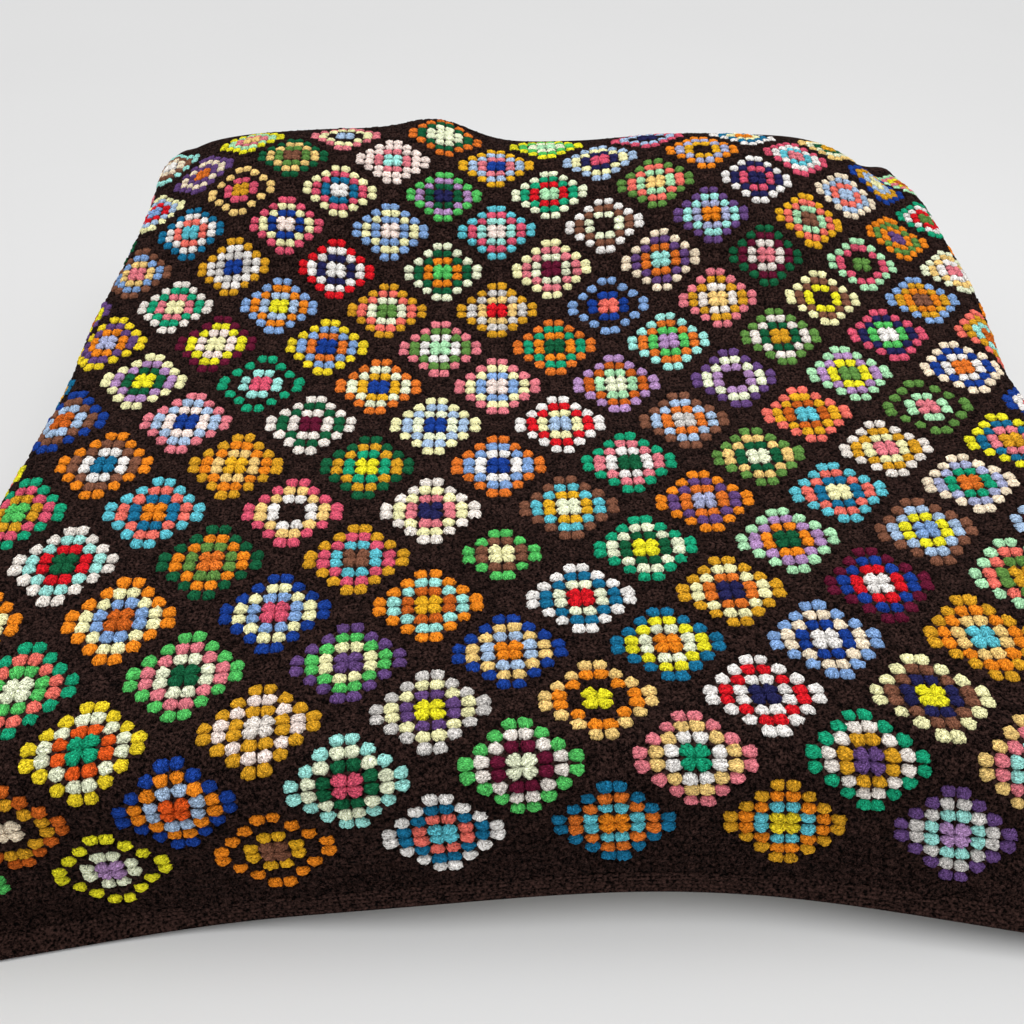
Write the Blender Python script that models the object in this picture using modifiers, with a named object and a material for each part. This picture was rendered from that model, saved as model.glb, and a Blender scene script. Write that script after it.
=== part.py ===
"""Granny square blanket lying over a mattress and two pillows.

The panel of joined squares and its crocheted border are sheets laid by one drape function: flat over the
mattress, up over the pillows at the head, and down over the foot and both sides, with a flute at each corner.
"""

import math

import bmesh
import bpy
from mathutils import Vector

# Crochet, in metres
SQUARE = 0.132  # side of one joined square
HALF = SQUARE / math.sqrt(2)  # half the diagonal of a square set on point
LAST_COLUMN = 10  # the panel's sides, in half diagonals from its middle
FIRST_ROW, LAST_ROW = -1, 17  # the panel's foot and head, in half diagonals from the first row's centres
BORDER = 0.03  # width of the stitched border
CLOTH = 0.0045  # thickness of the crochet
SEAM = 0.0010  # the gap between the panel and its border

# Mattress
MATTRESS_WIDE, MATTRESS_LONG, MATTRESS_HIGH = 1.50, 1.60, 0.245
MATTRESS_EDGE = 0.055  # radius of its rounded edges
MATTRESS_PAST = 0.045  # how far its foot lies past the line where the cloth starts to turn down

# Pillows
PILLOW_WIDE, PILLOW_DEEP, PILLOW_THICK = 0.70, 0.46, 0.20
PILLOW_SIDE = 0.05  # height of a pillow's side
PILLOW_FROM_END = 0.075  # between the pillows and the mattress's head end
PRESSED = 0.006  # between a pillow's crown and the cloth that presses on it
SLUMP = 0.3  # how much lower a pillow's head edge would be, as a share of its crown
PILLOWS = (
    # name, middle x from the bed's middle
    ("pillow_left", -0.365),
    ("pillow_right", 0.355),
)

# Drape
BED_X, FOOT_LINE = -0.043, -0.653  # the bed's middle and the line where the cloth turns down at the foot
PLACE_X = 0.035  # how far the middle column lies from the bed's middle
TURN = 0.06  # radius at which the cloth rounds an edge
LANDING = 0.03  # radius at which a low corner comes to lie on the floor
FOOT = 0.12  # distance from the first row's centres to the foot turn, along the cloth
SIDE_HANG, FOOT_HANG, TIP_HANG = 1.33, 1.44, 0.72  # steepness of the sides, foot and corner ridges, radians
FLARE = 0.4  # how fast the foot swings out to the right of CALM_X, radians per square metre
CALM_X, LEAST_HANG = -0.28, 0.95
SWAY, WAVES = 0.035, 9.0  # uneven hang: its size in radians, and how fast it changes, radians per metre
CLEAR = 0.0005  # between the mattress's top and the cloth

# The stretch of the crochet: lengths are shares of HALF
STRETCH = (
    # row, across, along, sideways, bow, tilt, pinch
    (-1.5, 1.02, 0.86, 0.25, -0.50, 0.05, -0.10),
    (2.0, 1.02, 0.87, 0.05, -0.35, 0.30, -0.15),
    (5.0, 1.02, 0.98, -0.05, 0.15, 0.35, 0.0),
    (8.0, 1.02, 1.12, -0.05, 0.25, 0.0, 0.10),
    (12.0, 1.01, 0.86, 0.0, 0.50, -0.10, -0.20),
    (17.6, 1.01, 0.82, 0.05, 0.75, 0.0, -0.20),
)
BOW_WIDE = 11  # columns from the middle where the bow is twice the table's
EDGES = (
    # distance along the cloth, where it starts to turn down at the left and the right, from the bed's middle
    (-0.20, -0.75, 0.745),
    (0.50, -0.73, 0.74),
    (0.85, -0.72, 0.73),
    (1.10, -0.72, 0.76),
    (1.35, -0.675, 0.755),
)

# The rise over the pillows: the crest's height across the bed, and how much farther up the cloth it lies
CREST = (
    # x from the bed's middle, height, late
    (-0.755, 0.095, 0.07),
    (-0.62, 0.15, 0.07),
    (-0.47, 0.19, 0.03),
    (-0.28, 0.20, 0.015),
    (-0.10, 0.185, -0.025),
    (0.10, 0.19, -0.045),
    (0.28, 0.205, -0.045),
    (0.45, 0.185, -0.02),
    (0.60, 0.135, 0.03),
    (0.755, 0.05, 0.01),
)
RISE = (
    # distance along the cloth, share of the crest's height
    (0.79, 0.0),
    (0.93, 0.08),
    (1.07, 0.28),
    (1.21, 0.68),
    (1.35, 0.98),
    (1.45, 1.0),
    (1.62, 0.78),
)
PEAKS = (
    # x from the bed's middle, distance along the cloth, height, radius
    (-0.68, 1.42, -0.02, 0.095),
    (-0.16, 1.47, 0.035, 0.085),
    (0.68, 1.43, 0.015, 0.08),
)
FLAT_TO = 0.69  # distance along the cloth up to which it lies flat
STEP = 0.01  # length of the cloth between the points where its slope is taken

# Grid lines of the sheets: (from, to, cells), in columns across and rows along
ACROSS = ((-10, -9, 2), (-9, -7, 8), (-7, 7.4, 23), (7.4, 9.2, 7), (9.2, 10, 2))
ALONG = ((-1, 0.2, 2), (0.2, 2.6, 10), (2.6, 9, 8), (9, 17, 14))


def through(table, at, column=1):
    """The value of a smooth curve through the table's rows, held level past its ends."""
    at = min(max(at, table[0][0]), table[-1][0])
    last = len(table) - 1
    here = next(i for i in range(last) if at <= table[i + 1][0])
    keys = [table[i][0] for i in range(len(table))]
    values = [table[i][column] for i in range(len(table))]

    def slope(i):
        if i in (0, last):
            return 0.0
        return (values[i + 1] - values[i - 1]) / (keys[i + 1] - keys[i - 1])

    span = keys[here + 1] - keys[here]
    t = (at - keys[here]) / span
    start = (1 + 2 * t) * (1 - t) ** 2 * values[here] + t * (1 - t) ** 2 * slope(here) * span
    end = t * t * (3 - 2 * t) * values[here + 1] - t * t * (1 - t) * slope(here + 1) * span
    return start + end


def distance(row):
    """Metres along the cloth from the first row's centres to this row."""
    count = 4 * math.ceil(abs(row)) + 1
    return sum(through(STRETCH, row * (i + 0.5) / count, 2) for i in range(count)) * row / count * HALF


def over_pillows(along, x):
    """How far from the foot, and how high, a point of the cloth lies on its way over the pillows."""
    crest, late = through(CREST, x), through(CREST, x, 2)
    flat = min(along, FLAT_TO)
    far = flat
    steps = max(1, round((along - flat) / STEP))
    for i in range(steps):
        low = through(RISE, flat + (along - flat) * i / steps - late)
        high = through(RISE, flat + (along - flat) * (i + 1) / steps - late)
        far += math.sqrt(max(((along - flat) / steps) ** 2 - (crest * (high - low)) ** 2, 0))
    rise = crest * through(RISE, along - late)
    for peak_x, peak_along, height, radius in PEAKS:
        rise += height * math.exp(-((x - peak_x) ** 2 + (along - peak_along) ** 2) / radius**2)
    return far, rise


def over_edge(reach, hang, drop):
    """How far out and down a point lies that is `reach` past the turn, with the floor a `drop` below."""
    bent = min(reach / TURN, hang)
    out, down = TURN * math.sin(bent), TURN * (1 - math.cos(bent))
    straight = min(reach - bent * TURN, (drop - down - LANDING * (1 - math.cos(hang))) / math.sin(hang))
    rest = reach - bent * TURN - straight
    left = hang - min(rest / LANDING, hang)
    out += straight * math.cos(hang) + LANDING * (math.sin(hang) - math.sin(left))
    down += straight * math.sin(hang) + LANDING * (math.cos(left) - math.cos(hang))
    return out + rest - LANDING * (hang - left), down


def drape(column, row, past_side=0.0, past_end=0.0):
    """Where a point of the cloth lies: the border's points are given as metres past the panel's edge."""
    side_share = column / LAST_COLUMN
    across = through(STRETCH, row, 1) * column * HALF + past_side
    across += PLACE_X + (through(STRETCH, row, 3) + through(STRETCH, row, 6) * side_share**3) * HALF
    along = distance(row) + past_end + through(STRETCH, row, 5) * side_share * HALF
    along += through(STRETCH, row, 4) * (1 - math.cos(math.pi * column / BOW_WIDE)) * HALF

    on_top = max(along, FOOT)
    x = min(max(across, through(EDGES, on_top)), through(EDGES, on_top, 2))
    y, rise = over_pillows(on_top, x)
    side, end = abs(across - x), max(FOOT - along, 0)
    turn = math.atan2(end, side)

    foot_hang = max(FOOT_HANG - FLARE * max(x - CALM_X, 0) ** 2, LEAST_HANG) + SWAY * math.sin(WAVES * x)
    side_hang = SIDE_HANG + SWAY * math.sin(WAVES * y)
    level = turn / (math.pi / 2)
    ridge = math.sin(2 * turn) ** 1.5 if 0 < level < 1 else 0
    hang = (side_hang * (1 - level) + foot_hang * level) * (1 - ridge) + TIP_HANG * ridge
    out, down = over_edge(math.hypot(side, end), hang, MATTRESS_HIGH + rise)
    x += BED_X + math.copysign(out * math.cos(turn), across)
    y += FOOT_LINE - FOOT - out * math.sin(turn)
    return Vector((x, y, MATTRESS_HIGH + CLEAR + CLOTH / 2 + rise - down))


def lines(stretches):
    """The grid lines that these stretches of equal cells give, in order."""
    found = [stretches[0][0]]
    for start, stop, cells in stretches:
        found += [start + (stop - start) * (i + 1) / cells for i in range(cells)]
    return found


def material(name, colour, roughness):
    made = bpy.data.materials.new(name)
    made.use_nodes = True
    shader = made.node_tree.nodes["Principled BSDF"]
    shader.inputs["Base Color"].default_value = (*colour, 1)
    shader.inputs["Roughness"].default_value = roughness
    shader.inputs["Metallic"].default_value = 0
    return made


def keep(obj, name, surface, collection):
    """Names the new object, gives it its material and moves it to the blanket's collection."""
    obj.name = obj.data.name = name
    obj.data.materials.append(surface)
    for owner in obj.users_collection:
        owner.objects.unlink(obj)
    collection.objects.link(obj)


def steady(place, step):
    """The direction that the cloth faces at a place, from its slopes across and along."""
    column, row, past_side, past_end = place
    across = drape(column, row, past_side + step, past_end) - drape(column, row, past_side - step, past_end)
    along = drape(column, row, past_side, past_end + step) - drape(column, row, past_side, past_end - step)
    return across.cross(along).normalized()


def draped_slab(columns, rows, past=None, ring=False):
    """A slab with a vertex at each pair of grid lines on its top and underside, laid on the drape.

    `past` gives the metres that a grid line lies past the panel's edge. A ring keeps only the outer cells.
    """
    last_column, last_row = len(columns) - 1, len(rows) - 1
    bpy.ops.mesh.primitive_grid_add(x_subdivisions=last_column, y_subdivisions=last_row, size=1)
    obj = bpy.context.object
    mesh = bmesh_of(obj)
    for vertex in mesh.verts:
        vertex.co = (round((vertex.co.x + 0.5) * last_column), round((vertex.co.y + 0.5) * last_row), 0)
    if ring:
        middles = [(face, face.calc_center_median()) for face in mesh.faces]
        inner = [face for face, at in middles if 1 < at.x < last_column - 1 and 1 < at.y < last_row - 1]
        bmesh.ops.delete(mesh, geom=inner, context="FACES")
    made = bmesh.ops.extrude_face_region(mesh, geom=mesh.faces[:], use_keep_orig=True)["geom"]
    top = [item for item in made if isinstance(item, bmesh.types.BMVert)]
    bmesh.ops.translate(mesh, verts=top, vec=(0, 0, 1))
    bmesh.ops.recalc_face_normals(mesh, faces=mesh.faces[:])
    for vertex in mesh.verts:
        across, along, side = (round(value) for value in vertex.co)
        place = [columns[across], rows[along], 0.0, 0.0]
        if past:
            place[2:] = past(across, last_column), past(along, last_row)
        vertex.co = drape(*place) + steady(place, SEAM) * (side - 0.5) * CLOTH
    mesh.to_mesh(obj.data)
    mesh.free()
    return obj


def squares_panel():
    return draped_slab(lines(ACROSS), lines(ALONG))


def stitched_border():
    """A ring one cell wide round the panel's own grid lines, a seam away from its edge."""

    def past(line, last):
        return {0: -BORDER, 1: -SEAM, last - 1: SEAM, last: BORDER}.get(line, 0.0)

    columns = [-LAST_COLUMN, *lines(ACROSS), LAST_COLUMN]
    rows = [FIRST_ROW, *lines(ALONG), LAST_ROW]
    return draped_slab(columns, rows, past, ring=True)


def mattress():
    foot = FOOT_LINE - MATTRESS_PAST
    centre = (BED_X, foot + MATTRESS_LONG / 2, MATTRESS_HIGH / 2)
    bpy.ops.mesh.primitive_cube_add(size=1, location=centre)
    obj = bpy.context.object
    obj.scale = (MATTRESS_WIDE, MATTRESS_LONG, MATTRESS_HIGH)
    bpy.ops.object.transform_apply(location=False, rotation=False, scale=True)
    rounding = obj.modifiers.new("rounded edges", "BEVEL")
    rounding.width = MATTRESS_EDGE
    rounding.segments = 5
    return obj


def cloth_height(x, y):
    """How high the cloth's middle lies above the flat cloth, over a point of the mattress."""
    along = y - FOOT_LINE + FOOT
    for _ in range(3):
        inner = min(max(x, through(EDGES, along)), through(EDGES, along, 2))
        far, height = over_pillows(along, inner)
        along += y - FOOT_LINE + FOOT - far
    return height - TURN + math.sqrt(max(TURN**2 - (x - inner) ** 2, 0))


def pillow(middle_x):
    """A cushion with a flat underside, low sides and a crown, from a coarse cage with Subdivision Surface."""
    head = FOOT_LINE - MATTRESS_PAST + MATTRESS_LONG - PILLOW_FROM_END
    middle_y = head - PILLOW_DEEP / 2
    centre = (BED_X + middle_x, middle_y, MATTRESS_HIGH + CLEAR)
    bpy.ops.mesh.primitive_cube_add(size=2, location=centre)
    obj = bpy.context.object
    mesh = bmesh_of(obj)
    bmesh.ops.subdivide_edges(mesh, edges=mesh.edges, cuts=5, use_grid_fill=True)
    for vertex in mesh.verts:
        x, y, z = vertex.co
        crown = math.sqrt(max(1 - x**4, 0) * max(1 - y**4, 0)) * (1 - SLUMP * max(y, 0))
        height = PILLOW_SIDE + (PILLOW_THICK - PILLOW_SIDE) * crown
        x, y = x * PILLOW_WIDE / 2, y * PILLOW_DEEP / 2
        height = min(height, cloth_height(middle_x + x, middle_y + y) - PRESSED)
        vertex.co = (x, y, (z + 1) / 2 * height)
    mesh.to_mesh(obj.data)
    mesh.free()
    smooth = obj.modifiers.new("soft form", "SUBSURF")
    smooth.levels = smooth.render_levels = 1
    return obj


def bmesh_of(obj):
    mesh = bmesh.new()
    mesh.from_mesh(obj.data)
    return mesh


def build():
    for obj in list(bpy.data.objects):
        bpy.data.objects.remove(obj)
    blanket = bpy.data.collections.new("granny_square_blanket")
    bpy.context.scene.collection.children.link(blanket)

    yarn = material("dark brown yarn", (0.018, 0.009, 0.007), 0.95)
    edging = material("dark brown edging", (0.015, 0.008, 0.006), 0.95)
    ticking = material("mattress cotton", (0.72, 0.70, 0.66), 0.9)
    pillowcase = material("pillowcase cotton", (0.80, 0.79, 0.76), 0.9)

    keep(squares_panel(), "squares_panel", yarn, blanket)
    keep(stitched_border(), "stitched_border", edging, blanket)
    keep(mattress(), "mattress", ticking, blanket)
    for name, middle_x in PILLOWS:
        keep(pillow(middle_x), name, pillowcase, blanket)


build()
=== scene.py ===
"""Granny square blanket laid over a mattress and two pillows, dressed for close views.

The blanket is a thin crocheted sheet on the solids' drape, with a puffy cluster of three stitches wherever
the crochet has one. Places on the cloth are given as (column, row), in half diagonals of a square.
"""

import math

import bmesh
import bpy
import numpy as np
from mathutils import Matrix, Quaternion, Vector


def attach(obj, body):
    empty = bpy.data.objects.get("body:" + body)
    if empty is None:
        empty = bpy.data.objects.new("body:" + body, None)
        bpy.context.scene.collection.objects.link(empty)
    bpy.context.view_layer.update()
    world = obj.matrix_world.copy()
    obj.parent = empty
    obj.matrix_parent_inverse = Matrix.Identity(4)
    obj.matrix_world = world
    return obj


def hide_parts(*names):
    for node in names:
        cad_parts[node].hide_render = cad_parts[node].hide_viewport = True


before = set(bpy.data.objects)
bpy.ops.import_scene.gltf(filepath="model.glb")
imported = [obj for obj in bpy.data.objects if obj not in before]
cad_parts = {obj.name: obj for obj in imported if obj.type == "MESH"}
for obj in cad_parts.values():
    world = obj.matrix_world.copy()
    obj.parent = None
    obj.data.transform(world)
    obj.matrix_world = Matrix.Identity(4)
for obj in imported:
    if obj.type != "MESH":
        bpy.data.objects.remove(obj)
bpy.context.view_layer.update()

# Crochet, in metres
SQUARE = 0.132  # side of one joined square
HALF = SQUARE / math.sqrt(2)  # half the diagonal of a square set on point
CELL = HALF / 5.54  # the clusters lie on a grid of this pitch, set along the columns and rows
ROUNDS = ("first", "second", "third", "fourth")  # the coloured rounds of a square, from its centre
LAST_COLUMN = 10  # the panel's sides
FIRST_ROW, LAST_ROW = -1, 17  # the panel's foot and head
BORDER = 0.03  # width of the stitched border
CLOTH = 0.0045  # thickness of the solid cloth, whose middle the drape gives
SEAM = 0.0007  # how far the thin sheet stops short of the panel's edge
BACKING = 0.002  # thickness of the sheet under the clusters
RIDGE_WIDE, RIDGE_HIGH = 0.006, 0.0018  # a join between two squares
EDGING = 0.0035  # thickness of the border
EDGING_ROWS = 5  # rows of stitches in the border
EDGING_LOW, EDGING_SWELL = 0.0012, 0.0016  # height of the grooves between its rows, and of a row above them
TUCKED = -0.002  # where the border starts, measured outwards from the panel's edge
SUNK = 0.0006  # how deep the rims of clusters and ridges are sunk into the sheet

# Clusters: sizes in metres, the two shares as cluster() says, and the cells of a cluster's mesh
PLAIN_CLUSTER = (0.0190, 0.0186, 0.0048, 0.56, 0.22, (7, 5))
FIRST_CLUSTER = (0.0194, 0.0204, 0.0054, 0.34, 0.12, (9, 6))
DARK_CLUSTER = (0.0222, 0.0186, 0.0036, 0.70, 0.32, (6, 4))
INWARD = 0.0020  # how much nearer the first round's four clusters lie, so that they meet in the middle
CORNER_LEAN = 0.56  # how far a cluster beside a square's corner leans towards it, radians

# Hand-made unevenness of the clusters
SHIFT, TWIST = 0.0006, 0.07  # of their places in metres, and of their directions in radians
SIZE_VARIES, HEIGHT_VARIES = 0.035, 0.10  # as shares
DYE_VARIES, BROWN_VARIES = 0.05, 0.12  # brightness of the yarn from cluster to cluster, as shares
STRAY = 0.0005  # how far the points of a cluster stray, in metres

# Finishes: scales are per metre
FIBRES, PINHOLES = 270.0, 250.0  # scale of the yarn's fibres and of the pinholes between its strands, whose painted shade darkens the colour
DARKEST = 0.04  # the least light that a hollow in the crochet keeps
YARN_DEEP, ROWS_DEEP, WEAVE_DEEP = 0.0016, 0.0012, 0.0006  # relief, in metres
BACKING_STITCH = (0.006, 0.009)  # width and height of a stitch, in metres
EDGING_STITCH = (0.006, BORDER / EDGING_ROWS)
TURN_AROUND = 2 * math.pi

# Mattress and pillows
MATTRESS_WIDE, MATTRESS_LONG, MATTRESS_HIGH = 1.50, 1.60, 0.245
MATTRESS_EDGE = 0.055  # radius of its rounded edges
MATTRESS_PAST = 0.045  # how far its foot lies past the line where the cloth starts to turn down
PILLOW_WIDE, PILLOW_DEEP, PILLOW_THICK = 0.70, 0.46, 0.20
PILLOW_SIDE = 0.05  # height of a pillow's side
PILLOW_FROM_END = 0.075  # between the pillows and the mattress's head end
PRESSED = 0.006  # between a pillow's crown and the cloth that presses on it
SLUMP = 0.3  # how much lower a pillow's head edge would be, as a share of its crown
PILLOWS = (
    # name, the solid it stands for, middle x from the bed's middle
    ("left_pillow", "pillow_left", -0.365),
    ("right_pillow", "pillow_right", 0.355),
)

# Drape
BED_X, FOOT_LINE = -0.043, -0.653  # the bed's middle and the line where the cloth turns down at the foot
PLACE_X = 0.035  # how far the middle column lies from the bed's middle
TURN = 0.06  # radius at which the cloth rounds an edge
LANDING = 0.03  # radius at which a low corner comes to lie on the floor
FOOT = 0.12  # distance from the first row's centres to the foot turn, along the cloth
SIDE_HANG, FOOT_HANG, TIP_HANG = 1.33, 1.44, 0.72  # steepness of the sides, foot and corner ridges, radians
FLARE = 0.4  # how fast the foot swings out to the right of CALM_X, radians per square metre
CALM_X, LEAST_HANG = -0.28, 0.95  # where the foot starts to swing out, and its steepness at the most, radians
SWAY, WAVES = 0.035, 9.0  # uneven hang: its size in radians, and how fast it changes, radians per metre
CLEAR = 0.0005  # between the mattress's top and the cloth

# The stretch of the crochet: lengths are shares of HALF
STRETCH = (
    # row, across, along, sideways, bow, tilt, pinch
    (-1.5, 1.02, 0.86, 0.25, -0.50, 0.05, -0.10),
    (2.0, 1.02, 0.87, 0.05, -0.35, 0.30, -0.15),
    (5.0, 1.02, 0.98, -0.05, 0.15, 0.35, 0.0),
    (8.0, 1.02, 1.12, -0.05, 0.25, 0.0, 0.10),
    (12.0, 1.01, 0.86, 0.0, 0.50, -0.10, -0.20),
    (17.6, 1.01, 0.82, 0.05, 0.75, 0.0, -0.20),
)
BOW_WIDE = 11  # columns from the middle where the bow is twice the table's
EDGES = (
    # distance along the cloth, where it starts to turn down at the left and the right, from the bed's middle
    (-0.20, -0.75, 0.745),
    (0.50, -0.73, 0.74),
    (0.85, -0.72, 0.73),
    (1.10, -0.72, 0.76),
    (1.35, -0.675, 0.755),
)

# The rise over the pillows: the crest's height across the bed, and how much farther up the cloth it lies
CREST = (
    # x from the bed's middle, height, late
    (-0.755, 0.095, 0.07),
    (-0.62, 0.15, 0.07),
    (-0.47, 0.19, 0.03),
    (-0.28, 0.20, 0.015),
    (-0.10, 0.185, -0.025),
    (0.10, 0.19, -0.045),
    (0.28, 0.205, -0.045),
    (0.45, 0.185, -0.02),
    (0.60, 0.135, 0.03),
    (0.755, 0.05, 0.01),
)
RISE = (
    # distance along the cloth, share of the crest's height
    (0.79, 0.0),
    (0.93, 0.08),
    (1.07, 0.28),
    (1.21, 0.68),
    (1.35, 0.98),
    (1.45, 1.0),
    (1.62, 0.78),
)
PEAKS = (
    # x from the bed's middle, distance along the cloth, height, radius
    (-0.68, 1.42, -0.02, 0.095),
    (-0.16, 1.47, 0.035, 0.085),
    (0.68, 1.43, 0.015, 0.08),
)
FLAT_TO = 0.69  # distance along the cloth up to which it lies flat

# Yarns: one letter each, red, green and blue from 0 to 255
YARNS = {
    "K": (38, 25, 22),  # dark brown
    "W": (250, 245, 240),  # white
    "w": (245, 235, 225),  # blush white
    "C": (245, 250, 215),  # cream
    "L": (255, 250, 190),  # pale yellow
    "Y": (245, 235, 45),  # bright yellow
    "y": (245, 215, 45),  # sunflower yellow
    "G": (240, 180, 40),  # golden yellow
    "M": (220, 160, 40),  # mustard
    "B": (250, 210, 130),  # buff
    "O": (245, 140, 35),  # orange
    "T": (230, 120, 45),  # burnt orange
    "r": (240, 95, 35),  # vermilion
    "R": (205, 100, 35),  # rust
    "S": (250, 120, 105),  # coral
    "P": (235, 130, 140),  # pink
    "H": (225, 90, 115),  # hot rose
    "D": (225, 30, 40),  # red
    "V": (100, 25, 50),  # maroon
    "p": (255, 235, 225),  # pale pink
    "E": (255, 235, 205),  # peach
    "l": (185, 145, 195),  # lilac
    "U": (105, 75, 130),  # purple
    "i": (175, 180, 215),  # periwinkle
    "c": (135, 170, 220),  # cornflower
    "s": (175, 200, 230),  # pale blue
    "b": (30, 65, 150),  # royal blue
    "n": (40, 40, 85),  # navy
    "t": (30, 115, 155),  # teal blue
    "q": (100, 200, 215),  # turquoise
    "a": (165, 235, 225),  # aqua
    "m": (180, 235, 185),  # mint
    "g": (90, 200, 100),  # bright green
    "o": (100, 145, 70),  # moss
    "e": (30, 165, 120),  # emerald
    "d": (25, 95, 60),  # dark green
    "N": (130, 85, 65),  # brown
    "x": (215, 210, 205),  # grey
}

# Which yarns each square is worked in, from its first round to its fourth. The fifth round is dark brown.
SQUARES = (
    # row, squares from left to right
    (16, "WENa BPmY sKLP CCdT mCgY nKsH OLtW MdCB RYPm"),
    (15, "YlCP TUEU NoBd aPpp bPsG HnLs KGiO PqWH LsMb OWqd"),
    (14, "cDsL MHKB WtHL ndlg mDeC BmSo nHnW sSsE oDWe"),
    (13, "WGid qSWt pbLH pcLc paHq KCNW OiaU NmSG UOoO nCgO"),
    (12, "PBcN bxWM WnWD gOdC VCPL aTUE PwVd oKHm PWBC"),
    (11, "sRYU LPew YsOc oCSM DBxM SbKc BwMP KYNL NOMc eWlO"),
    (10, "iOUy LpYV bTcy mWoP dOeT lgTa Mdwo WgnH RaMS"),
    (9, "CPGt YdlL HaKe bGCT pcLP CmRl KlCU oYlm TWbE gMpV"),
    (8, "RsNb bpsP Vwdw bCsL sLDW xTsN qRGS PmKo YDWb"),
    (7, "UmSY tWNO GBOM YeMd bWcT dWPe CdBo PLMw MPtY BnLH"),
    (6, "gMHe OtSq KWBH nPLw CGqN iTUO LtSq TeiE aCRG"),
    (5, "xHWo dDaw ToOd NqHM LNgK YdCe dOlm cYsN WGVs KETc"),
    (4, "eNLO RcLO HcLb GRaO DCtW nTLM WDbV MoSm pUYd"),
    (3, "YsTi CgSe dCPg ULgU OsBb OCYt WbEc qBOM PKnG lRWt"),
    (2, "EqCV erCy wMpM YULx YKOB nWDW YnNL HsdO mDLb"),
    (1, "aPoW EKMR rsOb HdCa CVwg eWBP UMwe LaPB GNtS OWUm"),
    (0, "CRBg lCKY NGKO qStW OqTt yqOM laxU HWce dYnP"),
)

chance = np.random.default_rng(11)


# ---------------------------------------------------------------- drape


def through(table, at, column=1):
    """The values of a smooth curve through the table's rows, held level past its ends."""
    keys = np.array([row[0] for row in table])
    values = np.array([row[column] for row in table])
    slopes = np.zeros(len(keys))
    slopes[1:-1] = (values[2:] - values[:-2]) / (keys[2:] - keys[:-2])
    at = np.clip(at, keys[0], keys[-1])
    here = np.clip(np.searchsorted(keys, at, side="right") - 1, 0, len(keys) - 2)
    span = keys[here + 1] - keys[here]
    t = (at - keys[here]) / span
    start = (1 + 2 * t) * (1 - t) ** 2 * values[here] + t * (1 - t) ** 2 * slopes[here] * span
    end = t * t * (3 - 2 * t) * values[here + 1] - t * t * (1 - t) * slopes[here + 1] * span
    return start + end


def distance(row):
    """Metres along the cloth from the first row's centres to these rows."""
    lines = np.linspace(-2, 18, 801)
    steps = through(STRETCH, (lines[1:] + lines[:-1]) / 2, 2) * np.diff(lines) * HALF
    total = np.concatenate([[0], np.cumsum(steps)])
    return np.interp(row, lines, total) - np.interp(0, lines, total)


def over_pillows(along, x, steps=80):
    """How far from the foot, and how high, points of the cloth lie on their way over the pillows."""
    crest, late = through(CREST, x), through(CREST, x, 2)
    far = flat = np.minimum(along, FLAT_TO)
    step = (along - flat) / steps
    low = through(RISE, flat - late)
    for i in range(steps):
        high = through(RISE, flat + step * (i + 1) - late)
        far = far + np.sqrt(np.maximum(step**2 - (crest * (high - low)) ** 2, 0))
        low = high
    rise = crest * low
    for peak_x, peak_along, height, radius in PEAKS:
        rise = rise + height * np.exp(-((x - peak_x) ** 2 + (along - peak_along) ** 2) / radius**2)
    return far, rise


def over_edge(reach, hang, drop):
    """How far out, and how far down, points lie that are `reach` past the turn.

    The floor is a `drop` below the turn.
    """
    bent = np.minimum(reach / TURN, hang)
    out, down = TURN * np.sin(bent), TURN * (1 - np.cos(bent))
    straight = np.minimum(reach - bent * TURN, (drop - down - LANDING * (1 - np.cos(hang))) / np.sin(hang))
    rest = reach - bent * TURN - straight
    left = hang - np.minimum(rest / LANDING, hang)
    out = out + straight * np.cos(hang) + LANDING * (np.sin(hang) - np.sin(left))
    down = down + straight * np.sin(hang) + LANDING * (np.cos(left) - np.cos(hang))
    return out + rest - LANDING * (hang - left), down


def drape(column, row):
    """Where the middle of the cloth lies at these columns and rows, past the panel's edge as well."""
    inner_column = np.clip(column, -LAST_COLUMN, LAST_COLUMN)
    inner_row = np.clip(row, FIRST_ROW, LAST_ROW)
    _, wide, _, sideways, bow, tilt, pinch = (through(STRETCH, inner_row, i) for i in range(7))
    side_share = inner_column / LAST_COLUMN
    across = PLACE_X + (wide * inner_column + column - inner_column + sideways + pinch * side_share**3) * HALF
    curve = bow * (1 - np.cos(np.pi * inner_column / BOW_WIDE)) + tilt * side_share
    along = distance(inner_row) + (row - inner_row + curve) * HALF

    on_top = np.maximum(along, FOOT)
    x = np.clip(across, through(EDGES, on_top), through(EDGES, on_top, 2))
    y, rise = over_pillows(on_top, x)
    side, end = np.abs(across - x), np.maximum(FOOT - along, 0)
    turn = np.arctan2(end, side)
    foot_hang = np.maximum(FOOT_HANG - FLARE * np.maximum(x - CALM_X, 0) ** 2, LEAST_HANG)
    foot_hang = foot_hang + SWAY * np.sin(WAVES * x)
    side_hang = SIDE_HANG + SWAY * np.sin(WAVES * y)
    level = turn / (np.pi / 2)
    ridge = np.maximum(np.sin(2 * turn), 0) ** 1.5
    hang = (side_hang * (1 - level) + foot_hang * level) * (1 - ridge) + TIP_HANG * ridge
    out, down = over_edge(np.hypot(side, end), hang, MATTRESS_HIGH + rise)
    x = x + BED_X + np.copysign(out * np.cos(turn), across)
    y = y + FOOT_LINE - FOOT - out * np.sin(turn)
    return np.stack([x, y, MATTRESS_HIGH + CLEAR + CLOTH / 2 + rise - down], axis=-1)


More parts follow.
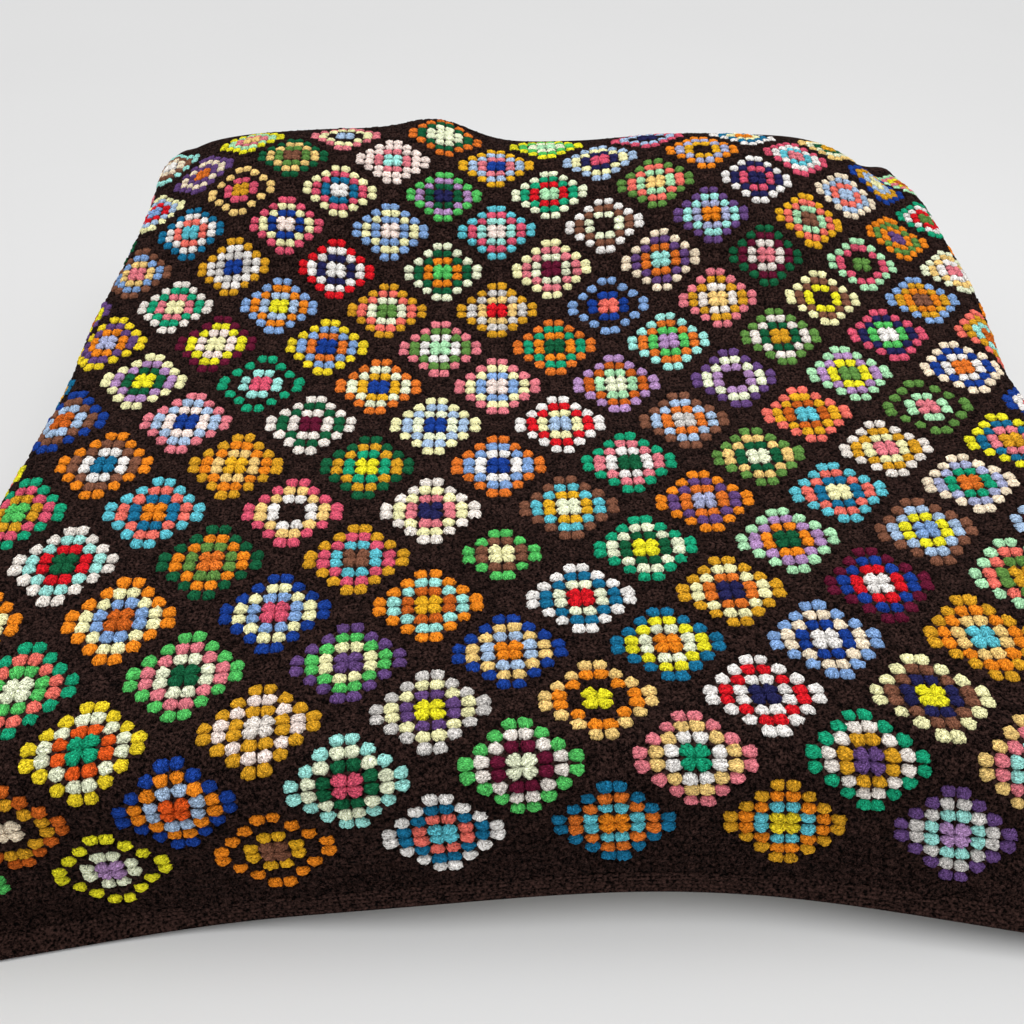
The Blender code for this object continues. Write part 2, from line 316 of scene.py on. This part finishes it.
class Cloth:
    """The drape worked out once on a fine grid, with the direction that the cloth faces."""

    PITCH = 0.1

    def __init__(self):
        self.first = np.array([-LAST_COLUMN - 0.5, FIRST_ROW - 0.5])
        columns = np.arange(self.first[0], LAST_COLUMN + 0.51, self.PITCH)
        rows = np.arange(self.first[1], LAST_ROW + 0.51, self.PITCH)
        self.places = drape(*np.meshgrid(columns, rows, indexing="ij"))
        faces = np.cross(np.gradient(self.places, axis=0), np.gradient(self.places, axis=1))
        self.faces = faces / np.linalg.norm(faces, axis=-1, keepdims=True)

    def laid(self, column, row, height):
        """Points this high above the middle of the cloth."""
        at = (np.stack([column, row], axis=-1) - self.first) / self.PITCH
        at = np.clip(at, 0, np.array(self.places.shape[:2]) - 1.001)
        low = at.astype(int)
        share = at - low
        place, face = 0, 0
        for i, j in ((0, 0), (1, 0), (0, 1), (1, 1)):
            part = np.abs(1 - i - share[..., 0]) * np.abs(1 - j - share[..., 1])
            place = place + self.places[low[..., 0] + i, low[..., 1] + j] * part[..., None]
            face = face + self.faces[low[..., 0] + i, low[..., 1] + j] * part[..., None]
        face = face / np.linalg.norm(face, axis=-1, keepdims=True)
        return place + face * np.asarray(height)[..., None]


cloth = Cloth()


# ---------------------------------------------------------------- finishes


def linear(colour):
    """A colour from 0 to 255 as the shader's own red, green and blue."""
    share = np.asarray(colour, float) / 255
    return tuple(np.where(share <= 0.04045, share / 12.92, ((share + 0.055) / 1.055) ** 2.4))


class Value:
    """A number that changes over the surface. Sums with it add Math nodes."""

    def __init__(self, finish, socket):
        self.finish, self.socket = finish, socket

    def sum(self, operation, *terms):
        return self.finish.node("ShaderNodeMath", {"operation": operation}, dict(enumerate(terms)))

    def __add__(self, other):
        return self.sum("ADD", self, other)

    def __sub__(self, other):
        return self.sum("SUBTRACT", self, other)

    def __rsub__(self, other):
        return self.sum("SUBTRACT", other, self)

    def __mul__(self, other):
        return self.sum("MULTIPLY", self, other)

    def __truediv__(self, other):
        return self.sum("DIVIDE", self, other)

    def __pow__(self, other):
        return self.sum("POWER", self, other)

    def __abs__(self):
        return self.sum("ABSOLUTE", self)

    __radd__, __rmul__ = __add__, __mul__

    def sine(self):
        return self.sum("SINE", self)

    def fraction(self):
        return self.sum("FRACT", self)

    def least(self, other):
        return self.sum("MINIMUM", self, other)

    def most(self, other):
        return self.sum("MAXIMUM", self, other)


class Finish:
    """A material, built up from nodes."""

    def __init__(self, name, roughness, sheen=0.0):
        self.material = bpy.data.materials.new(name)
        self.material.use_nodes = True
        self.tree = self.material.node_tree
        self.shader = self.tree.nodes["Principled BSDF"]
        self.shader.inputs["Roughness"].default_value = roughness
        self.shader.inputs["Sheen Weight"].default_value = sheen
        self.shader.inputs["Specular IOR Level"].default_value = 0.04  # yarn and cotton hardly shine

    def fill(self, socket, value):
        if isinstance(value, Value):
            self.tree.links.new(value.socket, socket)
        elif isinstance(value, tuple) and len(value) == 3 and socket.type == "RGBA":
            socket.default_value = (*value, 1)
        else:
            socket.default_value = value

    def node(self, kind, settings, inputs, output=0):
        made = self.tree.nodes.new(kind)
        for name, value in settings.items():
            setattr(made, name, value)
        for name, value in inputs.items():
            self.fill(made.inputs[name], value)
        return Value(self, made.outputs[output])

    def place(self):
        return self.node("ShaderNodeTexCoord", {}, {}, "Object")

    def noise(self, place, scale, detail=2.0, rough=0.5):
        inputs = {"Vector": place, "Scale": scale, "Detail": detail, "Roughness": rough}
        return self.node("ShaderNodeTexNoise", {}, inputs)

    def shaded(self, colour, light):
        """The colour times a grey that may be over 1."""
        grey = self.node("ShaderNodeCombineColor", {}, {"Red": light, "Green": light, "Blue": light})
        inputs = {0: colour, 1: grey}
        return self.node("ShaderNodeVectorMath", {"operation": "MULTIPLY"}, inputs)

    def uv(self, name):
        """Across and along, from the piece's own map."""
        at = self.node("ShaderNodeUVMap", {"uv_map": name}, {})
        parts = self.tree.nodes.new("ShaderNodeSeparateXYZ")
        self.tree.links.new(at.socket, parts.inputs[0])
        return Value(self, parts.outputs[0]), Value(self, parts.outputs[1])

    def bump(self, height, metres):
        inputs = {"Height": height, "Distance": metres, "Strength": 1.0}
        return self.node("ShaderNodeBump", {}, inputs)

    def wear(self, colour, normal=None):
        """Gives the shader its varying colour, and its normal where there is one."""
        self.fill(self.shader.inputs["Base Color"], colour)
        if normal:
            self.fill(self.shader.inputs["Normal"], normal)
        return self.material


def cluster_yarn(name, strands, pinhole_shade, fuzz):
    """Worsted yarn in clusters, in the cluster's own colour: short strands that slant across three stitches.

    The last three arguments say how strongly the strands, the pinholes between them and the fibres show; the
    colour has painted shade between strands, in pinholes, in the valleys between stitches and towards the
    cluster's edges.
    """
    finish = Finish(name, 0.9)
    place = finish.place()
    across, along = finish.uv("stitches")
    fibres = finish.noise(place, FIBRES, 3.0, 0.65)
    lean = abs(across.fraction() - 0.5)
    x = across * 2.2 + along * 1.2
    y = along * 5.0 - lean * 2.8
    at = finish.node("ShaderNodeCombineXYZ", {}, {"X": x, "Y": y})
    settings = {"feature": "DISTANCE_TO_EDGE", "voronoi_dimensions": "2D"}
    inputs = {"Vector": at, "Scale": 1.0, "Randomness": 0.8}
    # The strands' pattern shapes the bump and is also painted shade in the colour: darker where strands meet,
    # lighter along their middles.
    strand_relief_and_shade = (finish.node("ShaderNodeTexVoronoi", settings, inputs, "Distance") * 3.2).least(1.0)
    # Pinholes: dips in the bump, and painted shade in the colour.
    spot = finish.node("ShaderNodeTexVoronoi", {}, {"Vector": place, "Scale": PINHOLES}, "Distance")
    pinhole_dip_and_shade = ((0.36 - spot) * 6.0).most(0.0).least(1.0)
    # Painted shade: the colour darkens towards the cluster's sides and ends, where shadow falls between
    # clusters, and in the valleys between its three stitches.
    side = abs((across / 3.0).fraction() - 0.5) * 2.0
    end = abs(along.fraction() - 0.5) * 2.0
    painted_valley_shade = (lean * 2.0) ** 5.0 * along.fraction() * 0.45
    painted_cluster_shade = 1.0 - (side**4.0).most(end**5.0) * 0.7 - painted_valley_shade
    height = strand_relief_and_shade * 0.7 + fibres * 0.6 - pinhole_dip_and_shade * 0.6
    colour = finish.node("ShaderNodeVertexColor", {"layer_name": "yarn"}, {})
    # A grey over the yarn's colour: painted shade from the strands and pinholes, and speckle from the fibres.
    light = strand_relief_and_shade * strands + (fibres - 0.5) * fuzz - pinhole_dip_and_shade * pinhole_shade + (1.46 - strands * 0.8)
    return finish.wear(finish.shaded(colour, light.most(DARKEST) * painted_cluster_shade), finish.bump(height, YARN_DEEP))


def dark_yarn(name, stitch):
    """Dark brown crochet seen as tight rows, with painted shade in the grooves between stitches and rows:
    `stitch` is the width and height of a stitch, in metres.
    """
    finish = Finish(name, 0.95)
    place = finish.place()
    across, along = finish.uv("stitches")
    fibres = finish.noise(place, FIBRES, 3.0, 0.65)
    slant = abs((along * (1 / stitch[1])).fraction() - 0.5)
    stitches = (across * (TURN_AROUND / stitch[0]) + slant * 5.0).sine() * 0.5 + 0.5
    rows = (along * (TURN_AROUND / stitch[1])).sine() * 0.5 + 0.5
    height = stitches * 0.5 + rows * 0.4 + fibres * 0.6
    # Painted shade: darker in the grooves between stitches and between rows, lighter on their ridges; the
    # fibres add speckle.
    light = ((stitches + rows) * 0.35 + (fibres - 0.5) * 11.0 + 0.8).most(DARKEST)
    return finish.wear(finish.shaded(linear(YARNS["K"]), light), finish.bump(height, ROWS_DEEP))


def cotton(name, colour, pitch, stripes=0.0):
    """Plain woven cotton, whose threads cross at this pitch, with soft unevenness.

    `stripes` is the pitch of a ticking's stripes, in metres.
    """
    finish = Finish(name, 0.85, 0.2)
    place = finish.place()
    parts = finish.tree.nodes.new("ShaderNodeSeparateXYZ")
    finish.tree.links.new(place.socket, parts.inputs[0])
    x, y, z = (Value(finish, output) for output in parts.outputs)
    turns = TURN_AROUND / pitch
    threads = ((x + y * 0.4) * turns).sine() + ((z + y * 0.9) * turns).sine()
    uneven = finish.noise(place, 14.0, 4.0)
    light = threads * 0.02 + uneven * 0.16 + 0.9
    if stripes:
        band = ((x + y) * (TURN_AROUND / stripes)).sine()
        light = light - (band - 0.86).most(0.0) * 1.6
    height = threads * 0.2 + uneven * 2.0
    return finish.wear(finish.shaded(linear(colour), light), finish.bump(height, WEAVE_DEEP))


# ---------------------------------------------------------------- blanket


def shaped(obj, shape):
    """The points, their places on the grid and the faces of a unit grid moved to shape(across, along).

    Across and along run from 0 to 1, and the grid itself is removed.
    """
    points = np.zeros(len(obj.data.vertices) * 3)
    obj.data.vertices.foreach_get("co", points)
    points = points.reshape(-1, 3) + 0.5
    faces = np.array([polygon.vertices[:] for polygon in obj.data.polygons])
    across, along = points[:, 0], points[:, 1]
    made = np.stack(shape(across, along), axis=-1)
    mesh = obj.data
    bpy.data.objects.remove(obj)
    bpy.data.meshes.remove(mesh)
    return made, np.stack([across, along], axis=-1), faces


def grid(across, along):
    bpy.ops.object.select_all(action="DESELECT")
    bpy.ops.mesh.primitive_grid_add(x_subdivisions=across, y_subdivisions=along, size=1)
    return bpy.context.object


def cluster(width, height, thick, base, drawn, cells):
    """A fan of three stitches, lobed at its outer edge.

    `base` is the share of its width that it has where it springs from the round before. `drawn` is the share
    of its height by which its outer corners are drawn back.
    """

    def shape(across, along):
        from_middle = 2 * across - 1
        lobe = np.abs(np.sin(3 * np.pi * across))
        spread = base + (1 - base) * np.sin(np.pi / 2 * np.minimum(along * 1.25, 1))
        x = from_middle * width / 2 * spread * (1 - 0.10 * np.maximum(along - 0.75, 0) * 4)
        y = (along - 0.5) * height
        y = y - from_middle**2 * height * (drawn * along**2 - 0.06 * (1 - along) ** 2)
        y = y + height * 0.06 * along**3 * (lobe - 0.5)
        round_side = np.sqrt(np.maximum(1 - from_middle**4, 0))
        round_end = np.sqrt(np.maximum(1 - (2 * along - 1) ** 4, 0))
        z = thick * round_side * round_end * (0.76 + 0.24 * lobe) - SUNK
        return x, y, z

    points, at, faces = shaped(grid(*cells), shape)
    return points, at * (3, 1), faces


def ridge(width, length, thick, cells):
    """A low rounded strip along a seam."""

    def shape(across, along):
        z = thick * np.sqrt(np.maximum(1 - (2 * across - 1) ** 2, 0)) - SUNK
        return (across - 0.5) * width, (along - 0.5) * length, z

    points, at, faces = shaped(grid(*cells), shape)
    return points, at * (width, length), faces


def mesh_piece(name, points, faces, at, colours=None):
    """A new mesh object from arrays, smooth, with its map of the stitches and its yarn colours."""
    mesh = bpy.data.meshes.new(name)
    mesh.from_pydata(points.tolist(), [], faces.tolist())
    corners = np.zeros(len(mesh.loops), int)
    mesh.loops.foreach_get("vertex_index", corners)
    mesh.uv_layers.new(name="stitches").data.foreach_set("uv", at[corners].ravel())
    if colours is not None:
        layer = mesh.color_attributes.new(name="yarn", type="FLOAT_COLOR", domain="POINT")
        layer.data.foreach_set("color", colours.ravel())
    mesh.polygons.foreach_set("use_smooth", np.ones(len(mesh.polygons), bool))
    obj = bpy.data.objects.new(name, mesh)
    bpy.context.scene.collection.objects.link(obj)
    return obj


def copies(name, shape, places, yarns):
    """One joined mesh of a shape laid on the cloth at many places: column, row, direction, size, height."""
    points, at, faces = shape
    column, row, direction, size, high = (places[:, i, None] for i in range(5))
    x, y = points[:, 0] * size, points[:, 1] * size
    on_column = column + (x * np.sin(direction) + y * np.cos(direction)) / HALF
    on_row = row + (y * np.sin(direction) - x * np.cos(direction)) / HALF
    laid = cloth.laid(on_column, on_row, points[:, 2] * high)
    laid = laid + chance.normal(0, STRAY, laid.shape)
    count = len(places)
    every_face = faces[None] + np.arange(count)[:, None, None] * len(points)
    colours = np.repeat(np.concatenate([yarns, np.ones((count, 1))], axis=1), len(points), axis=0)
    every_at = at[None] + chance.integers(0, 60, (count, 1, 2)) * (3, 1)
    every_face = every_face.reshape(-1, faces.shape[1])
    return mesh_piece(name, laid.reshape(-1, 3), every_face, every_at.reshape(-1, 2), colours)


def round_places(number):
    """Where one round's clusters lie in a square, in cells from its centre, and which way they face."""
    found = []
    for side in range(4):
        turn = side * math.pi / 2
        for i in range(number):
            x, y = i + 0.5, number - i - 0.5
            lean = CORNER_LEAN * ((i == 0) - (i == number - 1))
            turned_x = x * math.cos(turn) - y * math.sin(turn)
            turned_y = x * math.sin(turn) + y * math.cos(turn)
            found.append((turned_x, turned_y, turn + math.pi / 4 + lean))
    return np.array(found)


def whole_squares():
    """Column, row and four yarns of every coloured square."""
    return [
        (2 * i - len(words.split()) + 1, row, word)
        for row, words in SQUARES
        for i, word in enumerate(words.split())
    ]


def half_squares():
    """Centre of every plain half square, and the direction in which its half lies."""
    edge = range(-LAST_COLUMN + 1, LAST_COLUMN, 2)
    side = range(FIRST_ROW + 1, LAST_ROW, 2)
    found = [(column, FIRST_ROW, 0, 1) for column in edge] + [(column, LAST_ROW, 0, -1) for column in edge]
    found += [(-LAST_COLUMN, row, 1, 0) for row in side] + [(LAST_COLUMN, row, -1, 0) for row in side]
    return [(*half, (1, 2, 3, 4, 5)) for half in found]


def uneven(places):
    """Hand-made unevenness in where clusters lie, how they turn and how big they are."""
    count = len(places)
    places[:, 0:2] += chance.normal(0, SHIFT / HALF, (count, 2))
    places[:, 2] += chance.normal(0, TWIST, count)
    places[:, 3] *= chance.normal(1, SIZE_VARIES, count)
    places[:, 4] *= chance.normal(1, HEIGHT_VARIES, count)
    return places


def coloured_round(number, shape):
    """One round of every coloured square, joined."""
    where = round_places(number)
    places, yarns = [], []
    for column, row, word in whole_squares():
        if word[number - 1] == "K":
            continue
        for x, y, direction in where:
            places.append((column + x * CELL / HALF, row + y * CELL / HALF, direction, 1.0, 1.0))
            yarns.append(linear(YARNS[word[number - 1]]))
    yarns = np.array(yarns) * chance.normal(1, DYE_VARIES, (len(yarns), 1))
    return copies(ROUNDS[number - 1] + "_rounds", shape, uneven(np.array(places)), yarns)


def brown_clusters(name, squares, shape):
    """Dark brown clusters of each square's named rounds, in the half that it names, or all round it."""
    places = []
    for column, row, half_x, half_y, numbers in squares:
        for number in numbers:
            for x, y, direction in round_places(number):
                if x * half_x + y * half_y >= 0:
                    places.append((column + x * CELL / HALF, row + y * CELL / HALF, direction, 1.0, 1.0))
    yarns = np.array([linear(YARNS["K"])]) * chance.normal(1, BROWN_VARIES, (len(places), 1))
    return copies(name, shape, uneven(np.array(places)), yarns)


def seams():
    """Ridges along the joins between squares."""
    places = []
    for row in range(FIRST_ROW, LAST_ROW):
        for column in range(-LAST_COLUMN, LAST_COLUMN + 1):
            if (column + row) % 2 == 0:
                continue
            for way in (-1, 1):
                if abs(column + way) <= LAST_COLUMN:
                    direction = math.atan2(1, way)
                    places.append((column + way / 2, row + 0.5, direction, 1.0, 1.0))
    places = np.array(places)
    yarns = np.ones((len(places), 3)) * linear(YARNS["K"])
    return copies("joining_seams", ridge(RIDGE_WIDE, SQUARE, RIDGE_HIGH, (2, 14)), places, yarns)


def backing():
    """The thin sheet that carries the clusters."""
    obj = grid(150, 138)
    obj.name = obj.data.name = "crocheted_panel"
    points = np.zeros(len(obj.data.vertices) * 3)
    obj.data.vertices.foreach_get("co", points)
    at = points.reshape(-1, 3)[:, :2] + 0.5
    edge = SEAM / HALF
    column = (at[:, 0] * 2 - 1) * (LAST_COLUMN - edge)
    row = FIRST_ROW + edge + at[:, 1] * (LAST_ROW - FIRST_ROW - 2 * edge)
    obj.data.vertices.foreach_set("co", cloth.laid(column, row, np.zeros(len(row))).ravel())
    corners = np.zeros(len(obj.data.loops), int)
    obj.data.loops.foreach_get("vertex_index", corners)
    flat = np.stack([column, row], axis=-1) * HALF
    layer = obj.data.uv_layers[0]
    layer.name = "stitches"
    layer.data.foreach_set("uv", flat[corners].ravel())
    finished(obj, BACKING)
    return obj


def finished(obj, thickness):
    """Gives a sheet its thickness below the surface and shades it smooth."""
    bpy.ops.object.select_all(action="DESELECT")
    obj.select_set(True)
    bpy.context.view_layer.objects.active = obj
    thick = obj.modifiers.new("thickness", "SOLIDIFY")
    thick.thickness = thickness
    thick.offset = -1
    bpy.ops.object.modifier_apply(modifier=thick.name)
    bpy.ops.object.shade_smooth()


def border():
    """Tight rows of stitches round the panel, as soft ridges parallel to the hem."""
    across = np.linspace(TUCKED, BORDER, EDGING_ROWS * 4 + 1)
    columns = np.concatenate([-across[::-1], np.linspace(0, 1, 151)[1:-1], across])
    rows = np.concatenate([-across[::-1], np.linspace(0, 1, 139)[1:-1], across])
    count = len(across)

    def line(lines, low, high):
        made = lines * (high - low) + low
        made[:count] = low + lines[:count] / HALF
        made[-count:] = high + lines[-count:] / HALF
        return made

    column = line(columns, -LAST_COLUMN, LAST_COLUMN)
    row = line(rows, FIRST_ROW, LAST_ROW)
    past_x = (np.abs(column) - LAST_COLUMN) * HALF
    past_y = np.maximum(FIRST_ROW - row, row - LAST_ROW) * HALF
    past = np.maximum(past_x[:, None], past_y[None])
    share = (past - TUCKED) / (BORDER - TUCKED)
    height = EDGING_LOW + EDGING_SWELL * np.abs(np.sin(np.pi * EDGING_ROWS * share))
    points = cloth.laid(*np.meshgrid(column, row, indexing="ij"), height)
    along_x, along_y = np.meshgrid(column * HALF, row * HALF, indexing="ij")
    along = np.where(past_y[None] > past_x[:, None], along_x, along_y)
    number = np.arange(points[..., 0].size).reshape(points.shape[:2])
    faces = np.stack([number[:-1, :-1], number[1:, :-1], number[1:, 1:], number[:-1, 1:]], axis=-1)
    i, j = np.meshgrid(np.arange(faces.shape[0]), np.arange(faces.shape[1]), indexing="ij")
    inside = (i >= count - 1) & (i <= len(column) - count - 1)
    inside &= (j >= count - 1) & (j <= len(row) - count - 1)
    faces = faces[~inside]
    used, faces = np.unique(faces, return_inverse=True)
    flat = np.stack([along, past], axis=-1).reshape(-1, 2)[used]
    obj = mesh_piece("stitched_edging", points.reshape(-1, 3)[used], faces.reshape(-1, 4), flat)
    finished(obj, EDGING)
    return obj


# ---------------------------------------------------------------- mattress and pillows


def mattress():
    """A plain block with rounded edges."""
    foot = FOOT_LINE - MATTRESS_PAST
    bpy.ops.object.select_all(action="DESELECT")
    centre = (BED_X, foot + MATTRESS_LONG / 2, MATTRESS_HIGH / 2)
    bpy.ops.mesh.primitive_cube_add(size=1, location=centre)
    obj = bpy.context.object
    obj.name = obj.data.name = "mattress_block"
    obj.scale = (MATTRESS_WIDE, MATTRESS_LONG, MATTRESS_HIGH)
    bpy.ops.object.transform_apply(location=True, rotation=False, scale=True)
    rounding = obj.modifiers.new("rounded edges", "BEVEL")
    rounding.width = MATTRESS_EDGE
    rounding.segments = 8
    bpy.ops.object.modifier_apply(modifier=rounding.name)
    bpy.ops.object.shade_smooth_by_angle(angle=0.6)
    return obj


def cloth_height(x, y):
    """How high the cloth's middle lies above the flat cloth, over points of the mattress."""
    along = y - FOOT_LINE + FOOT
    for _ in range(3):
        inner = np.clip(x, through(EDGES, along), through(EDGES, along, 2))
        far, height = over_pillows(along, inner)
        along = along + y - FOOT_LINE + FOOT - far
    return height - TURN + np.sqrt(np.maximum(TURN**2 - (x - inner) ** 2, 0))


def pillow(name, middle_x):
    """A cushion with a flat underside, low sides and a crown, creased at its corners."""
    head = FOOT_LINE - MATTRESS_PAST + MATTRESS_LONG - PILLOW_FROM_END
    middle_y = head - PILLOW_DEEP / 2
    bpy.ops.object.select_all(action="DESELECT")
    bpy.ops.mesh.primitive_cube_add(size=2)
    obj = bpy.context.object
    obj.name = obj.data.name = name
    mesh = bmesh.new()
    mesh.from_mesh(obj.data)
    bmesh.ops.subdivide_edges(mesh, edges=mesh.edges, cuts=11, use_grid_fill=True)
    for vertex in mesh.verts:
        x, y, z = vertex.co
        crown = math.sqrt(max(1 - x**4, 0) * max(1 - y**4, 0)) * (1 - SLUMP * max(y, 0))
        high = PILLOW_SIDE + (PILLOW_THICK - PILLOW_SIDE) * crown
        crease = 0.004 * math.sin(9 * (abs(x) - abs(y)) + 3 * middle_x) * (x * y) ** 2
        x, y = x * (PILLOW_WIDE / 2 - 0.003), y * (PILLOW_DEEP / 2 - 0.003)
        limit = cloth_height(np.array(middle_x + x), np.array(middle_y + y)) - PRESSED - 0.002
        high = min(high - 0.003, float(limit)) + crease
        bottom = MATTRESS_HIGH + CLEAR
        vertex.co = (BED_X + middle_x + x, middle_y + y, bottom + (z + 1) / 2 * high)
    mesh.to_mesh(obj.data)
    mesh.free()
    smooth = obj.modifiers.new("soft form", "SUBSURF")
    smooth.levels = smooth.render_levels = 2
    bpy.ops.object.modifier_apply(modifier=smooth.name)
    bpy.ops.object.shade_smooth()
    return obj


# ---------------------------------------------------------------- studio


def studio():
    """A pale floor, white light from all round, a wide soft sun and a softer lamp over the pillows."""
    bpy.ops.mesh.primitive_plane_add(size=16, location=(0, 2, 0))
    floor = bpy.context.object
    floor.name = "floor"
    finish = Finish("pale floor", 0.9)
    uneven_light = finish.noise(finish.place(), 1.5) * 0.02 + 0.99
    floor.data.materials.append(finish.wear(finish.shaded(linear((217, 217, 217)), uneven_light)))

    world = bpy.data.worlds.new("studio")
    bpy.context.scene.world = world
    world.use_nodes = True
    background = world.node_tree.nodes["Background"]
    background.inputs["Color"].default_value = (1, 1, 1, 1)
    background.inputs["Strength"].default_value = 0.57

    overhead = bpy.data.lights.new("soft overhead light", "SUN")
    overhead.angle, overhead.energy = 1.2, 1.52
    small = bpy.data.lights.new("light on the pillows", "AREA")
    small.size, small.energy = 1.2, 11
    for lamp, place, aim in (
        (overhead, Vector((0, 0, 2)), Vector((0.1, 0.2, 0))),
        (small, Vector((0.3, 0.2, 2.0)), Vector((0.1, 0.7, 0.3))),
    ):
        light = bpy.data.objects.new(lamp.name, lamp)
        light.location = place
        light.rotation_mode = "QUATERNION"
        light.rotation_quaternion = (aim - place).to_track_quat("-Z", "Y")
        bpy.context.scene.collection.objects.link(light)


def camera():
    lens = bpy.data.cameras.new("camera")
    lens.lens, lens.sensor_width = 39.24, 36  # millimetres
    obj = bpy.data.objects.new("camera", lens)
    obj.location = (-0.118, -1.469, 1.207)
    obj.rotation_mode = "QUATERNION"
    facing = Vector((0.017, 0.781, -0.624)).to_track_quat("-Z", "Y")
    roll = -0.008  # radians
    obj.rotation_quaternion = facing @ Quaternion((0, 0, 1), roll)
    bpy.context.scene.collection.objects.link(obj)
    bpy.context.scene.camera = obj


# ---------------------------------------------------------------- the whole


def dress(obj, finish, slot, *nodes):
    """Gives a piece its finish and the solids that it stands for; `slot` is not used."""
    obj.data.materials.clear()
    obj.data.materials.append(finish)
    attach(obj, "root")
    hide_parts(*nodes)


def build():
    bpy.context.scene.view_settings.view_transform = "Standard"
    camera()
    studio()

    # Both cluster yarns carry painted shade at cluster edges, between strands and in pinholes.
    yarn = cluster_yarn("worsted yarn", strands=0.70, pinhole_shade=0.34, fuzz=3.2)
    dark_clusters = cluster_yarn("dark brown yarn", strands=0.6, pinhole_shade=0.6, fuzz=11.0)
    first, plain, dark = (cluster(*sizes) for sizes in (FIRST_CLUSTER, PLAIN_CLUSTER, DARK_CLUSTER))
    first[0][:, 1] -= INWARD
    pieces = [coloured_round(i + 1, plain if i else first) for i in range(len(ROUNDS))]
    browns = [
        (column, row, 0, 0, [i + 1 for i, letter in enumerate(word) if letter == "K"])
        for column, row, word in whole_squares()
    ]
    fifths = [(column, row, 0, 0, (5,)) for column, row, _ in whole_squares()]
    pieces.append(brown_clusters("fifth_rounds", fifths, dark))
    pieces.append(brown_clusters("half_square_clusters", half_squares() + browns, dark))
    for i, piece in enumerate(pieces):
        dress(piece, yarn if i < len(ROUNDS) else dark_clusters, "yarn", "squares_panel")

    rows = dark_yarn("dark brown backing", BACKING_STITCH)
    pieces.append(seams())
    panel = backing()
    for piece in (pieces[-1], panel):
        dress(piece, rows, "yarn", "squares_panel")
    edging = border()
    dress(edging, dark_yarn("dark brown edging", EDGING_STITCH), "edging", "stitched_border")

    bed = mattress()
    ticking = cotton("mattress ticking", (206, 202, 192), pitch=0.0012, stripes=0.022)
    dress(bed, ticking, "ticking", "mattress")
    pillowcase = cotton("pillowcase cotton", (228, 226, 220), pitch=0.0008)
    for name, node, middle_x in PILLOWS:
        cushion = pillow(name, middle_x)
        dress(cushion, pillowcase, "pillowcase", node)


build()
